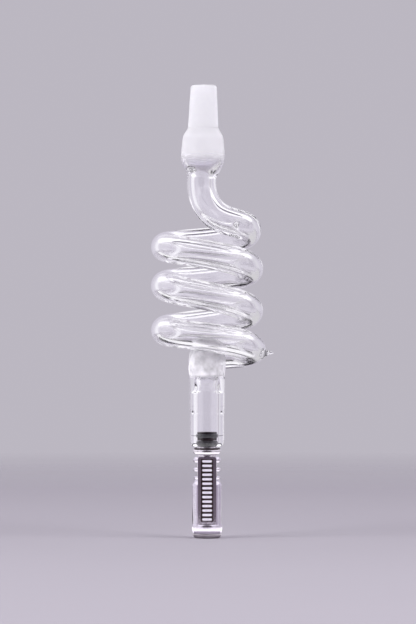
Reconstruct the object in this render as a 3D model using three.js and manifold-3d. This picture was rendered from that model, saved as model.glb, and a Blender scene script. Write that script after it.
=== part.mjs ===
// Coiled glass vaporizer stem with a metal tip and a finned cap.
// Millimetres, +Z up the stem. The origin is the centre of the cap's flat closed end.

import * as THREE from 'three';
import { mergeVertices } from 'three/addons/utils/BufferGeometryUtils.js';
import Module from 'manifold-3d';

const wasm = await Module();
wasm.setup();

// ---------------------------------------------------------------- driving dimensions

const ROUND = 24;              // sides of a turned piece
const SMALL_ROUND = 16;        // sides of a small ring
const WELD_GAP = 0.3;          // left between two lengths of glass that are welded in life
const SEAT_GAP = 0.05;         // left between two metal pieces that touch

// glass tube
const TUBE_R = 4.85;
const TUBE_BORE_R = 2.7;
const TUBE_SIDES = 6;          // curve segments of each half of the tube's section
const TURN_STEPS = 20;         // steps along one turn of the coil
const BEND_STEPS = 10;         // steps along the neck and along the return leg

// coil: the tube's centre line at each quarter turn, starting on the right (+X) and then
// going round behind; it is wound by hand, so the turns aren't quite even
const QUARTER_TURN_Z = [102.4, 98.9, 97, 94.3, 89.8, 86.4, 84.1, 80.6, 75.7, 71.6, 69.2, 67, 62.9];
const COIL_R = 13.85;
const COIL_START_R = 13.2;
const COIL_END_R = 14.7;
const ANGLE_STEP = 30;         // degrees between two points of the centre line
const WELD_ANGLE = 30;         // degrees past the right-hand side at which a turn ends

// ground joint and bulb, which lean a little towards +X as they rise
const SEAM_X = -1.5;
const SEAM_Z = 121.6;
const LEAN = THREE.MathUtils.degToRad(0.75);
const JOINT_BASE = 15.1;       // height of the joint above the seam
const JOINT_TOP = 29.4;
const JOINT_BASE_R = 5.08;
const JOINT_TOP_R = 4.36;
const JOINT_BORE_R = 3.3;
const RIM_ROUND = 1.05;
const BULB_R = 7.25;
const BULB_WALL = 1.3;

// socket that takes the tip
const SOCKET_MOUTH_Z = 30.3;
const SOCKET_R = 5.9;
const SOCKET_LOWER_R = 5.72;
const SOCKET_STEP_Z = 41.6;
const SOCKET_BORE_R = 3.65;
const SOCKET_BORE_TOP = 49.2;
const DOME_BORE_R = 2.4;
const DOME_R = 6.2;
const DOME_Z = 58;
const DOME_TOP = 67;
const LEG_START_Z = 61.9;
const LEG_END_Z = 60.6;
const LEG_BEND_R = 6.8;
const NIPPLE_Z = 61.7;
const NIPPLE_TIP_X = 22.1;

// tip
const SHANK_TOP = 35.3;
const SHANK_R = 3.35;
const LAND_R = 3.25;
const GROOVE_R = 2.0;
const GROOVE_HEIGHT = 1.6;
const UPPER_GROOVE_Z = 33.3;
const LOWER_GROOVE_Z = 31.0;
const COLLAR_TOP = 29.95;
const COLLAR_BASE = 28.5;
const COLLAR_R = 4.68;
const COLLAR_STEP_R = 4.3;       // low step on top of the collar
const COLLAR_STEP = 0.4;
const NECK_R = 3.45;
const NECK_BASE = 27.5;
const AIR_BORE_R = 1.2;
const BOWL_R = 2.92;
const BOWL_BORE_R = 2.45;
const BOWL_MOUTH = 6.6;
const BOWL_TOP = 13.4;
const CROWN_NOTCH = 0.9;       // width of the notches in the bowl's rim
const CROWN_DEPTH = 1.1;
const FLUTE_WIDTH = 1.0;       // air flutes along the outside of the bowl
const FLUTE_DEPTH = 0.18;
const O_RING_R = 0.75;         // radius of the rings' round section
const O_RING_OUTER = 3.6;

// bowl screen and the two grooves that hold it
const SCREEN_Z = 12.53;
const SCREEN_TRAVEL = 3;
const SCREEN_THICK = 0.25;
const SCREEN_R = 2.4;
const SCREEN_GROOVE_R = 2.57;
const SCREEN_GROOVE_HEIGHT = 0.4;
const SCREEN_HOLE_R = 0.2;
const SCREEN_HOLE_SIDES = 6;
const SCREEN_PITCH = 0.72;

// cap
const CAP_TOP = 27.1;
const CAP_R = 4.92;
const CAP_BAND_R = 5.03;
const CAP_BORE_R = 3.4;
const CAP_BASE = 1.55;
const PLUG_TOP = 2.7;
const PLUG_HEAD_TOP = 1.5;
const PLUG_HEAD_R = 4.78;
const FLAT_Y = 3.85;           // distance of the two milled flats from the axis
const FLAT_BASE = 4.6;
const PANEL_HALF = 2.06;       // sunk panel on each flat
const PANEL_DEPTH = 0.12;
const PANEL_BASE = 5.6;
const PANEL_TOP = 26.4;
const SLOT_X = 3.1;            // floor of the slots between the side fins
const CUP_R = 3.32;
const CUP_BORE_R = 3.0;
const CUP_TOP = 25.9;
const CUP_BASE = 2.9;
const CUP_FLOOR = 0.35;
const DISC_R = 2.85;
const DISC_THICK = 0.15;
const DISC_RISE = 0.25;
const CLIP_HEIGHT = 0.35;
const CLIP_SPLIT = 1.2;

// ---------------------------------------------------------------- materials

const clearGlass = { color: 0xe6e1ee, roughness: 0.03, metalness: 0 };
const groundGlass = { color: 0xf1eff5, roughness: 0.55, metalness: 0 };
const steel = { color: 0xcfc9d6, roughness: 0.18, metalness: 1 };
const tipSteel = { color: 0xa9a2b0, roughness: 0.28, metalness: 1 };
const springSteel = { color: 0x8f8a86, roughness: 0.35, metalness: 1 };
const rubber = { color: 0x221a1c, roughness: 0.6, metalness: 0 };

// ---------------------------------------------------------------- helpers

// One closed surface: shared vertices merged, collapsed triangles dropped.
function welded(geometry) {
  const bare = new THREE.BufferGeometry();
  bare.setAttribute('position', geometry.getAttribute('position').clone());
  bare.setIndex(geometry.getIndex());
  const merged = mergeVertices(bare, 1e-4);
  const kept = [];
  const index = merged.getIndex().array;
  for (let i = 0; i < index.length; i += 3) {
    const [a, b, c] = [index[i], index[i + 1], index[i + 2]];
    if (a !== b && b !== c && c !== a) kept.push(a, b, c);
  }
  merged.setIndex(kept);
  return merged;
}

function solid(geometry) {
  const merged = welded(geometry);
  const vertProperties = new Float32Array(merged.getAttribute('position').array);
  const triVerts = new Uint32Array(merged.getIndex().array);
  return new wasm.Manifold(new wasm.Mesh({ numProp: 3, vertProperties, triVerts }));
}

function geometryOf(manifold) {
  const mesh = manifold.getMesh();
  const geometry = new THREE.BufferGeometry();
  geometry.setAttribute('position', new THREE.Float32BufferAttribute(mesh.vertProperties, 3));
  geometry.setIndex(Array.from(mesh.triVerts));
  geometry.computeVertexNormals();
  return geometry;
}

// A body of revolution about Z. The outline is a list of [radius, height] that either
// closes on itself or starts and ends on the axis, in either direction.
function turned(outline, sides = ROUND) {
  const points = outline.map(([r, z]) => new THREE.Vector2(r, z));
  const onAxis = outline[0][0] === 0;
  if (!onAxis) points.push(points[0].clone());
  if (THREE.ShapeUtils.area(points) < 0) points.reverse();
  return new THREE.LatheGeometry(points, sides).rotateX(Math.PI / 2);
}

function block(width, depth, height, x, y, z) {
  return new THREE.BoxGeometry(width, depth, height).translate(x, y, z);
}

// Points of a quarter-round or other arc in an outline, centre (r, z), angles in degrees.
function arc(r, z, radius, from, to, steps = 4) {
  return Array.from({ length: steps + 1 }, (_, i) => {
    const angle = THREE.MathUtils.degToRad(from + ((to - from) * i) / steps);
    return [r + radius * Math.cos(angle), z + radius * Math.sin(angle)];
  });
}

function piece(name, geometry, look) {
  const mesh = new THREE.Mesh(geometry, new THREE.MeshStandardMaterial(look));
  mesh.name = name;
  return mesh;
}

// ---------------------------------------------------------------- the tube's centre line

// The neck comes straight down from the seam, then swings to the front and right.
const NECK_POINTS = [
  [-1.9, 0, SEAM_Z - WELD_GAP],
  [-1.9, 0, 119.2],
  [-1.75, -0.3, 116.6],
  [-1.0, -1.7, 113.1],
  [0.6, -4.1, 110.0],
  [3.3, -6.8, 107.2],
  [7.2, -8.2, 105.4],
  [11.4, -6.6, 104.2],
];

// The return leg leaves the last turn on a tighter bend and runs in to the dome from behind.
const legStart = new THREE.Vector2(COIL_END_R, 0)
  .rotateAround(new THREE.Vector2(), THREE.MathUtils.degToRad(WELD_ANGLE));
const legCentre = legStart.clone().multiplyScalar(1 - LEG_BEND_R / legStart.length());
const LEG_POINTS = [];
for (let angle = WELD_ANGLE; angle <= 180; angle += ANGLE_STEP) {
  const radians = THREE.MathUtils.degToRad(angle);
  const x = legCentre.x + LEG_BEND_R * Math.cos(radians);
  const y = legCentre.y + LEG_BEND_R * Math.sin(radians);
  const fall = (LEG_START_Z - LEG_END_Z) * (1 - (angle - WELD_ANGLE) / (180 - WELD_ANGLE)) ** 2;
  LEG_POINTS.push([x, y, LEG_END_Z + fall]);
}
LEG_POINTS.push([0, 0, LEG_END_Z]);

// Radius and height of the winding between its quarter turns.
const lastQuarter = QUARTER_TURN_Z.length - 1;
const winding = new THREE.CatmullRomCurve3(
  QUARTER_TURN_Z.map((z, quarter) => {
    if (quarter === 0) return new THREE.Vector3(COIL_START_R, 0, z);
    if (quarter === lastQuarter) return new THREE.Vector3(COIL_END_R, 0, z);
    return new THREE.Vector3(COIL_R, 0, z);
  }),
);

function windingPoint(degrees) {
  const { x: radius, z } = winding.getPoint(degrees / (90 * lastQuarter));
  const angle = THREE.MathUtils.degToRad(degrees);
  return new THREE.Vector3(radius * Math.cos(angle), radius * Math.sin(angle), z);
}

const windingPoints = [];
for (let angle = 0; angle <= 90 * lastQuarter; angle += ANGLE_STEP) {
  windingPoints.push(windingPoint(angle));
}
const centreLine = new THREE.CatmullRomCurve3([
  ...NECK_POINTS.map((p) => new THREE.Vector3(...p)),
  ...windingPoints,
  ...LEG_POINTS.map((p) => new THREE.Vector3(...p)),
]);
const lastPoint = centreLine.points.length - 1;

// Part of the centre line between two of its points, each end drawn back by half a weld gap.
class Section extends THREE.Curve {
  constructor(from, to) {
    super();
    this.start = (from + this.drawBack(from)) / lastPoint;
    this.end = (to - this.drawBack(to - 1)) / lastPoint;
  }

  drawBack(index) {
    const spacing = centreLine.points[index].distanceTo(centreLine.points[index + 1]);
    return WELD_GAP / 2 / spacing;
  }

  getPoint(t, target = new THREE.Vector3()) {
    return centreLine.getPoint(this.start + (this.end - this.start) * t, target);
  }
}

function ringSection(outerRadius, boreRadius) {
  const section = new THREE.Shape().absarc(0, 0, outerRadius, 0, 2 * Math.PI, false);
  section.holes.push(new THREE.Path().absarc(0, 0, boreRadius, 0, 2 * Math.PI, true));
  return section;
}

function tubeAlong(path, steps) {
  return new THREE.ExtrudeGeometry(ringSection(TUBE_R, TUBE_BORE_R), {
    steps,
    curveSegments: TUBE_SIDES,
    extrudePath: path,
  });
}

// ---------------------------------------------------------------- glass

// Heights are above the seam, in the group that leans.
function groundJoint() {
  const topArc = arc(JOINT_TOP_R - RIM_ROUND, JOINT_TOP - RIM_ROUND, RIM_ROUND, 0, 90);
  return turned([
    [JOINT_BASE_R, JOINT_BASE + WELD_GAP / 2],
    ...topArc,
    [JOINT_BORE_R, JOINT_TOP - 0.15],
    [JOINT_BORE_R, JOINT_BASE + WELD_GAP / 2],
  ]);
}

function shoulderBulb() {
  const neckIn = TUBE_BORE_R;
  return turned([
    [TUBE_R + 0.2, 0],
    [6.05, 1.75],
    [6.95, 3.3],
    [BULB_R, 5.1],
    [7.15, 7.6],
    [6.85, 10.6],
    [6.55, 12.4],
    [5.85, 13.9],
    [JOINT_BASE_R, JOINT_BASE - WELD_GAP / 2],
    [JOINT_BORE_R, JOINT_BASE - WELD_GAP / 2],
    [JOINT_BORE_R + 0.5, 13.4],
    [BULB_R - BULB_WALL - 0.5, 11.4],
    [BULB_R - BULB_WALL, 7.6],
    [BULB_R - BULB_WALL, 5.1],
    [BULB_R - BULB_WALL - 0.9, 3.2],
    [neckIn + 0.8, 1.4],
    [neckIn, 0],
  ]);
}

function socketTube(legBore) {
  const outer = turned([
    [0, SOCKET_MOUTH_Z],
    [4.5, SOCKET_MOUTH_Z],
    [5.1, 30.6],
    [5.5, 31.2],
    [SOCKET_LOWER_R, 32.2],
    [SOCKET_LOWER_R, SOCKET_STEP_Z],
    [SOCKET_R, SOCKET_STEP_Z + 1],
    [SOCKET_R, 53.5],
    [DOME_R, DOME_Z],
    [5.9, 60.3],
    [5.2, 62.4],
    [4.1, 64.7],
    [2.3, 66.4],
    [0, DOME_TOP],
  ]);
  const bore = turned([
    [0, SOCKET_MOUTH_Z - 1],
    [SOCKET_BORE_R + 0.25, SOCKET_MOUTH_Z - 1],
    [SOCKET_BORE_R + 0.25, SOCKET_MOUTH_Z + 0.1],
    [SOCKET_BORE_R, SOCKET_MOUTH_Z + 0.5],
    [SOCKET_BORE_R, SOCKET_BORE_TOP],
    [SOCKET_BORE_R - 0.2, SOCKET_BORE_TOP + 1.2],
    [DOME_BORE_R + 0.35, SOCKET_BORE_TOP + 2.4],
    [DOME_BORE_R, SOCKET_BORE_TOP + 3.4],
    [DOME_BORE_R, 62],
    [1.6, 63.4],
    [0, 64],
  ]);
  return geometryOf(solid(outer).subtract(solid(bore)).subtract(legBore));
}

// The leg stops short of the dome, and its bore goes on through the dome's wall.
function returnLeg(path) {
  const leg = solid(tubeAlong(path, BEND_STEPS));
  const clearance = turned([
    [0, DOME_Z - 10],
    [DOME_R + WELD_GAP, DOME_Z - 10],
    [DOME_R + WELD_GAP, DOME_TOP + 2],
    [0, DOME_TOP + 2],
  ]);
  return geometryOf(leg.subtract(solid(clearance)));
}

function legBoreThroughDome() {
  const start = new THREE.Vector3(0, 0, LEG_END_Z);
  const end = new THREE.Vector3(0, 2 * DOME_R, LEG_END_Z);
  const section = new THREE.Shape().absarc(0, 0, DOME_BORE_R, 0, 2 * Math.PI, false);
  const path = new THREE.LineCurve3(start, end);
  const extrude = { steps: 1, curveSegments: TUBE_SIDES, extrudePath: path };
  return solid(new THREE.ExtrudeGeometry(section, extrude));
}

// A short drawn point of glass where the blow tube was melted off, along +X.
function sealOffPoint() {
  const below = QUARTER_TURN_Z.at(-1) - NIPPLE_Z;
  const base = COIL_END_R + Math.sqrt(TUBE_R ** 2 - below ** 2);
  const length = NIPPLE_TIP_X - base - WELD_GAP;
  const outline = [
    [0, 0],
    [1.5, 0],
    [1.05, length * 0.3],
    [0.62, length * 0.65],
    [0.38, length * 0.9],
    [0, length],
  ];
  return turned(outline, SMALL_ROUND / 2)
    .rotateY(Math.PI / 2)
    .translate(base + WELD_GAP, 0, NIPPLE_Z);
}

// ---------------------------------------------------------------- tip

function tipBody() {
  const body = turned([
    [AIR_BORE_R, SHANK_TOP],
    [SHANK_R - 0.2, SHANK_TOP],
    [SHANK_R, SHANK_TOP - 0.2],
    [SHANK_R, UPPER_GROOVE_Z + GROOVE_HEIGHT],
    [GROOVE_R, UPPER_GROOVE_Z + GROOVE_HEIGHT],
    [GROOVE_R, UPPER_GROOVE_Z],
    [LAND_R, UPPER_GROOVE_Z],
    [LAND_R, LOWER_GROOVE_Z + GROOVE_HEIGHT],
    [GROOVE_R, LOWER_GROOVE_Z + GROOVE_HEIGHT],
    [GROOVE_R, LOWER_GROOVE_Z],
    [SHANK_R, LOWER_GROOVE_Z],
    [SHANK_R, COLLAR_TOP],
    [COLLAR_STEP_R, COLLAR_TOP],
    [COLLAR_STEP_R, COLLAR_TOP - COLLAR_STEP],
    [COLLAR_R - 0.1, COLLAR_TOP - COLLAR_STEP],
    [COLLAR_R, COLLAR_TOP - COLLAR_STEP - 0.15],
    [COLLAR_R, COLLAR_BASE],
    [4.2, 28.0],
    [NECK_R, 27.75],
    [NECK_R, NECK_BASE],
    [BOWL_R, NECK_BASE],
    [BOWL_R, BOWL_MOUTH + 0.2],
    [BOWL_R - 0.12, BOWL_MOUTH],
    [BOWL_BORE_R, BOWL_MOUTH],
    ...screenGroove(SCREEN_Z - SCREEN_TRAVEL),
    ...screenGroove(SCREEN_Z),
    [BOWL_BORE_R, BOWL_TOP],
    [AIR_BORE_R, BOWL_TOP + 0.8],
  ]);
  let shape = solid(body);
  for (const turn of [0, 1, 2, 3]) {
    const notch = block(CROWN_NOTCH, 4 * BOWL_R, 2 * CROWN_DEPTH, 0, 0, BOWL_MOUTH);
    shape = shape.subtract(solid(notch.rotateZ((turn + 0.5) * (Math.PI / 4))));
    const fluteHeight = COLLAR_BASE - 2 - (BOWL_MOUTH - 1);
    const fluteX = BOWL_R - FLUTE_DEPTH + 1;
    const fluteZ = BOWL_MOUTH - 1 + fluteHeight / 2;
    const flute = block(2, FLUTE_WIDTH, fluteHeight, fluteX, 0, fluteZ);
    shape = shape.subtract(solid(flute.rotateZ(turn * (Math.PI / 2))));
  }
  return geometryOf(shape);
}

function screenGroove(screenZ) {
  const middle = screenZ + SCREEN_THICK / 2;
  const half = SCREEN_GROOVE_HEIGHT / 2;
  return [
    [BOWL_BORE_R, middle - half],
    [SCREEN_GROOVE_R, middle - half + 0.1],
    [SCREEN_GROOVE_R, middle + half - 0.1],
    [BOWL_BORE_R, middle + half],
  ];
}

function oRing(grooveZ) {
  const middle = grooveZ + GROOVE_HEIGHT / 2;
  const centre = O_RING_OUTER - O_RING_R;
  return turned(arc(centre, middle, O_RING_R, 0, 315, 7), ROUND);
}

function circlePoints(radius, sides, x = 0, y = 0) {
  return Array.from({ length: sides }, (_, i) => {
    const angle = (2 * Math.PI * i) / sides;
    return new THREE.Vector2(x + radius * Math.cos(angle), y + radius * Math.sin(angle));
  });
}

// A disc with a hexagonal field of small holes.
function bowlScreen() {
  const disc = new THREE.Shape(circlePoints(SCREEN_R, ROUND));
  for (let row = -2; row <= 2; row += 1) {
    const count = 5 - Math.abs(row);
    for (let i = 0; i < count; i += 1) {
      const x = (i - (count - 1) / 2) * SCREEN_PITCH;
      const y = row * SCREEN_PITCH * Math.sqrt(0.75);
      disc.holes.push(new THREE.Path(circlePoints(SCREEN_HOLE_R, SCREEN_HOLE_SIDES, x, y)));
    }
  }
  const extrude = { depth: SCREEN_THICK, bevelEnabled: false };
  return new THREE.ExtrudeGeometry(disc, extrude).translate(0, 0, SCREEN_Z);
}

// ---------------------------------------------------------------- cap

// Outer outline of the cap from its foot up, without the slots between the fins.
const CAP_FOOT = [
  [0, CAP_BASE],
  [4.68, CAP_BASE],
  [4.7, 1.85],
  [4.9, 2.3],
  [CAP_BAND_R, 2.9],
  [CAP_BAND_R, 4.3],
  [CAP_R, 4.55],
  [CAP_R, 17.6],
  [4.75, 18.1],
  [4.2, 18.9],
  [4.05, 19.6],
];

const CAP_FINS = [
  [4.4, 20.1],
  [4.4, 20.45],
  [SLOT_X, 20.75],
  [SLOT_X, 22.1],
  [4.2, 22.25],
  [4.55, 22.6],
  [4.55, 23.1],
  [4.2, 23.45],
  [SLOT_X, 23.6],
  [SLOT_X, 25.05],
  [4.25, 25.2],
  [4.6, 25.7],
  [4.6, 26.3],
  [4.25, 26.85],
  [3.9, CAP_TOP],
];

// The straight spine between the side slots, which carries the two flats.
const CAP_SPINE = [
  [0, CAP_BASE],
  [4.6, CAP_BASE],
  [CAP_R, 4],
  [CAP_R, CAP_TOP - 0.4],
  [4.6, CAP_TOP],
  [0, CAP_TOP],
];

function capShell() {
  const finned = solid(turned([...CAP_FOOT, ...CAP_FINS, [0, CAP_TOP]]));
  const slab = solid(block(2 * SLOT_X, 12, 40, 0, 0, 20));
  const spine = solid(turned(CAP_SPINE)).intersect(slab);
  const bore = turned([
    [0, 0],
    [CAP_BORE_R, 0],
    [CAP_BORE_R, CUP_TOP + 0.1],
    [CAP_BORE_R + 0.22, CUP_TOP + 0.1],
    [CAP_BORE_R + 0.22, CUP_TOP + 0.1 + CLIP_HEIGHT + SEAT_GAP],
    [CAP_BORE_R, CUP_TOP + 0.1 + CLIP_HEIGHT + SEAT_GAP],
    [CAP_BORE_R, CAP_TOP - 0.2],
    [CAP_BORE_R + 0.2, CAP_TOP + 1],
    [0, CAP_TOP + 1],
  ]);
  let shell = finned.add(spine).subtract(solid(bore));
  for (const side of [-1, 1]) {
    const flat = block(12, 4, 40, 0, side * (FLAT_Y + 2), FLAT_BASE + 20);
    const panelHeight = PANEL_TOP - PANEL_BASE;
    const panelY = side * (FLAT_Y - PANEL_DEPTH + 1);
    const panel = block(2 * PANEL_HALF, 2, panelHeight, 0, panelY, PANEL_BASE + panelHeight / 2);
    shell = shell.subtract(solid(flat)).subtract(solid(panel));
  }
  return geometryOf(shell);
}

function endPlug() {
  return turned([
    [0, 0],
    [3.4, 0],
    [4.1, 0.15],
    [4.55, 0.55],
    [PLUG_HEAD_R, 1.1],
    [PLUG_HEAD_R - 0.1, PLUG_HEAD_TOP],
    [CAP_BORE_R - SEAT_GAP, PLUG_HEAD_TOP],
    [CAP_BORE_R - SEAT_GAP, PLUG_TOP],
    [0, PLUG_TOP],
  ]);
}

function heatCup() {
  const floor = CUP_BASE + CUP_FLOOR;
  const clipBase = discClipBase();
  return turned([
    [0, CUP_BASE],
    [CUP_R - 0.2, CUP_BASE],
    [CUP_R, CUP_BASE + 0.2],
    [CUP_R, CUP_TOP],
    [CUP_BORE_R, CUP_TOP],
    [CUP_BORE_R, clipBase + CLIP_HEIGHT + SEAT_GAP],
    [CUP_BORE_R + 0.12, clipBase + CLIP_HEIGHT + SEAT_GAP],
    [CUP_BORE_R + 0.12, clipBase - SEAT_GAP],
    [CUP_BORE_R, clipBase - SEAT_GAP],
    [CUP_BORE_R, floor],
    [0, floor],
  ]);
}

// A shallow domed disc, its rim at the bottom.
function snapDisc(rimZ) {
  const rise = (r) => DISC_RISE * (1 - (r / DISC_R) ** 2);
  const radii = [0, DISC_R * 0.5, DISC_R * 0.8, DISC_R];
  const under = radii.map((r) => [r, rimZ + rise(r)]);
  const over = radii.map((r) => [r, rimZ + rise(r) + DISC_THICK]).reverse();
  return turned([...under, ...over]);
}

function discBase(order) {
  return CUP_BASE + CUP_FLOOR + SEAT_GAP + order * (DISC_THICK + SEAT_GAP);
}

function discClipBase() {
  return discBase(2) + DISC_RISE + 0.4;
}

// A flat spring ring with a split on its +X side.
function splitRing(innerRadius, outerRadius, baseZ) {
  const ring = turned([
    [innerRadius, baseZ],
    [outerRadius, baseZ],
    [outerRadius, baseZ + CLIP_HEIGHT],
    [innerRadius, baseZ + CLIP_HEIGHT],
  ]);
  const split = block(outerRadius, CLIP_SPLIT, 4 * CLIP_HEIGHT, outerRadius, 0, baseZ);
  return geometryOf(solid(ring).subtract(solid(split)));
}

// ---------------------------------------------------------------- assembly

const stem = new THREE.Group();

const top = new THREE.Group();
top.position.set(SEAM_X, 0, SEAM_Z);
top.rotation.y = LEAN;
top.add(piece('ground_joint', groundJoint(), groundGlass));
top.add(piece('shoulder_bulb', shoulderBulb(), clearGlass));
stem.add(top);

const neckEnd = NECK_POINTS.length + WELD_ANGLE / ANGLE_STEP;
const perTurn = 360 / ANGLE_STEP;
stem.add(piece('neck_tube', tubeAlong(new Section(0, neckEnd), BEND_STEPS + 4), clearGlass));
for (const turn of [0, 1, 2]) {
  const from = neckEnd + turn * perTurn;
  const path = new Section(from, from + perTurn);
  stem.add(piece(`coil_turn_${turn + 1}`, tubeAlong(path, TURN_STEPS), clearGlass));
}
const legPath = new Section(neckEnd + 3 * perTurn, lastPoint);
stem.add(piece('return_leg', returnLeg(legPath), clearGlass));
stem.add(piece('seal_off_point', sealOffPoint(), clearGlass));
stem.add(piece('socket_tube', socketTube(legBoreThroughDome()), clearGlass));

stem.add(piece('tip_body', tipBody(), tipSteel));
stem.add(piece('upper_o_ring', oRing(UPPER_GROOVE_Z), rubber));
stem.add(piece('lower_o_ring', oRing(LOWER_GROOVE_Z), rubber));
stem.add(piece('bowl_screen', bowlScreen(), springSteel));

stem.add(piece('cap_shell', capShell(), steel));
stem.add(piece('end_plug', endPlug(), steel));
stem.add(piece('heat_cup', heatCup(), tipSteel));
stem.add(piece('snap_disc_outer', snapDisc(discBase(0)), springSteel));
stem.add(piece('snap_disc_inner', snapDisc(discBase(1)), springSteel));
stem.add(piece('disc_clip', splitRing(2.3, CUP_BORE_R + 0.08, discClipBase()), springSteel));
const cupClipZ = CUP_TOP + 0.1 + SEAT_GAP / 2;
stem.add(piece('cup_clip', splitRing(3.05, CAP_BORE_R + 0.17, cupClipZ), springSteel));

export default stem;
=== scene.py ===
"""Looks of a coiled glass vaporizer stem with a metal tip and a finned cap.

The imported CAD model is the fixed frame. Glass, rubber and metal pieces are fine meshes that
stand for the faceted nodes of the same name. Working units are millimetres; MM turns them into
metres when a mesh is made.
"""

import math

import bmesh
import bpy
import numpy as np
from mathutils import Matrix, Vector, noise
from mathutils.bvhtree import BVHTree


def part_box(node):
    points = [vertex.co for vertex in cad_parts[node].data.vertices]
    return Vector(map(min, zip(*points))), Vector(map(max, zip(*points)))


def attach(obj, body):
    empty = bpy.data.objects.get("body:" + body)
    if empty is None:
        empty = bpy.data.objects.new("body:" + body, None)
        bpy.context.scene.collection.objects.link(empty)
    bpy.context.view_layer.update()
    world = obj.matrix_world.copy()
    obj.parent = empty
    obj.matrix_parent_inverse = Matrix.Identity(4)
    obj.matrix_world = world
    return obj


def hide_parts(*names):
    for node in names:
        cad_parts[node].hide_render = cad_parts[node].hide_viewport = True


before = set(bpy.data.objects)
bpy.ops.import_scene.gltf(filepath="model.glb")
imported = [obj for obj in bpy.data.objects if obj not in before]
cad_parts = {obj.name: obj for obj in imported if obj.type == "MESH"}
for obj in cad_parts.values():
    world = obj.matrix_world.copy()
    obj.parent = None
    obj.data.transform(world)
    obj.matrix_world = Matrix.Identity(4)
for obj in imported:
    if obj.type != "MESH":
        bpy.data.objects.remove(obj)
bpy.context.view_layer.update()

MM = 0.001


def box_mm(node):
    """Lowest and highest corner of a CAD node, in millimetres."""
    low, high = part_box(node)
    return Vector(low) / MM, Vector(high) / MM


# ---- sizes, in millimetres

# tube and coil
TUBE_R = 4.82
BORE_R = 2.7
COIL_R = 13.85
COIL_START_R = 13.2
COIL_END_R = 14.7
QUARTER_TURN_Z = (102.4, 98.9, 97.0, 94.3, 89.8, 86.4, 84.1, 80.6, 75.7, 71.6, 69.2, 67.0, 62.9)
LEG_BEND_R = 6.8
LEG_START_Z = 61.9
LEG_END_Z = 60.6
LEG_START_ANGLE = 30
LEG_TAPER = 8              # length over which the leg's bore narrows into the dome's
RING_STEP = 0.6            # spacing of the rings of vertices along the tube
OUTER_SIDES = 84
BORE_SIDES = 60
WOBBLE = 0.05              # unevenness of hand-drawn tube

# joint and bulb, on an axis that leans towards +X as it rises
SEAM_X = -1.5
SEAM_Z = 121.6
LEAN = math.radians(0.75)
JOINT_Z = 136.7
JOINT_TOP = box_mm("ground_joint")[1].z
JOINT_R = 5.08
RIM_R = 4.36
RIM_ROUND = 1.05
JOINT_BORE_R = 3.3

# socket
SOCKET_MOUTH = box_mm("socket_tube")[0].z
DOME_TOP = box_mm("socket_tube")[1].z
SOCKET_R = 5.9
SOCKET_LOWER_R = 5.72
SOCKET_STEP_Z = 41.6
SOCKET_BORE_R = 3.65
SOCKET_BORE_TOP = 49.2
SOCKET_LIP_R = 4.3
SOCKET_FLARE_R = SOCKET_BORE_R + 0.4
DOME_BORE_R = 2.4
DOME_R = 6.2
DOME_Z = 58.0
DIMPLE_BASE = 51.0         # the dome's unevenness fades in from here up
DIMPLE_FADE = 5.0
DIMPLE_TOP = 69.0
DIMPLE_REACH = 8.5         # and stays this near the axis
DIMPLE_SIZE = 2.6
NOISE_SEED = 2             # without one, vector noise is offset by the clock
STOP_DENT_Z = 49.2
SPECK_DENT_Z = SOCKET_STEP_Z + 0.3
DENT_REACH = 6.5           # nothing further from the axis is dented
NIPPLE_TIP_X = box_mm("seal_off_point")[1].x
NIPPLE_Z = 61.7

# tip and cap
SHANK_TOP = box_mm("tip_body")[1].z
SHANK_R = 3.35
LAND_R = 3.25
GROOVE_R = 2.0
UPPER_GROOVE = (33.3, 34.9)
LOWER_GROOVE = (31.0, 32.6)
COLLAR_TOP = 29.95
COLLAR_BASE = 28.5
COLLAR_R = box_mm("tip_body")[1].x
COLLAR_STEP_R = 4.3
COLLAR_STEP = 0.4
COLLAR_ROUND = 0.45
COLLAR_EDGE = 0.2
CHAMFER = 0.05
NECK_R = 3.45
NECK_BASE = 27.5
AIR_BORE_R = 1.2
BOWL_R = 2.92
BOWL_BORE_R = 2.45
BOWL_MOUTH = box_mm("tip_body")[0].z
BOWL_TOP = 13.4
SCREEN_LOW, SCREEN_HIGH = box_mm("bowl_screen")
SCREEN_TRAVEL = 3.0
SCREEN_R = 2.4
SCREEN_RIM = 0.11
WIRE_R = 0.05
WIRE_PITCH = 0.3
WIRE_LIFT = 0.05
RING_SECTION_R = 0.75
RING_OUTER_R = 3.66        # the ring presses a little into the bore
RING_SQUEEZE = 0.7         # power that squares off the ring's squeezed section
RING_SEAM = 0.02           # height of the mould's parting line
CAP_TOP = box_mm("cap_shell")[1].z
CAP_BASE = box_mm("cap_shell")[0].z
CAP_R = 4.92
CAP_BORE_R = 3.4
CAP_ROUND = 0.22
ABOVE_CAP = 40             # a height and a distance that cutting blocks reach past the cap
BESIDE_CAP = 8
FLAT_Y = 3.85
FLAT_BASE = 4.6
PANEL_HALF = 2.06
PANEL_DEPTH = 0.12
BAR_SINK = 0.02
PANEL_BASE = 5.6
PANEL_TOP = 26.4
SLOT_X = 3.1
BAR_COUNT = 14
BAR_INSET = 0.42           # gap between a bar's end and the panel's edge
BAR_SHARE = 0.27           # a bar's half height as a share of the pitch
CUP_R = 3.32
CUP_BORE_R = 3.0
CUP_TOP = 25.9
CUP_BASE = box_mm("heat_cup")[0].z
CUP_FLOOR = 0.35
DISC_R = 2.85
CLIP_SPLIT = 1.2           # width of the gap in a spring ring

# camera, a long way off as the photograph's is
CAMERA_DISTANCE = 1300.0
CAMERA_Z = 75.3
CAMERA_X = 0.3
FRAME_HEIGHT = 208.0       # height of the view at the object
SENSOR = 36.0
BOUNCES = 128              # light crosses many walls of the coil before it leaves


# ---- mesh helpers

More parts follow.
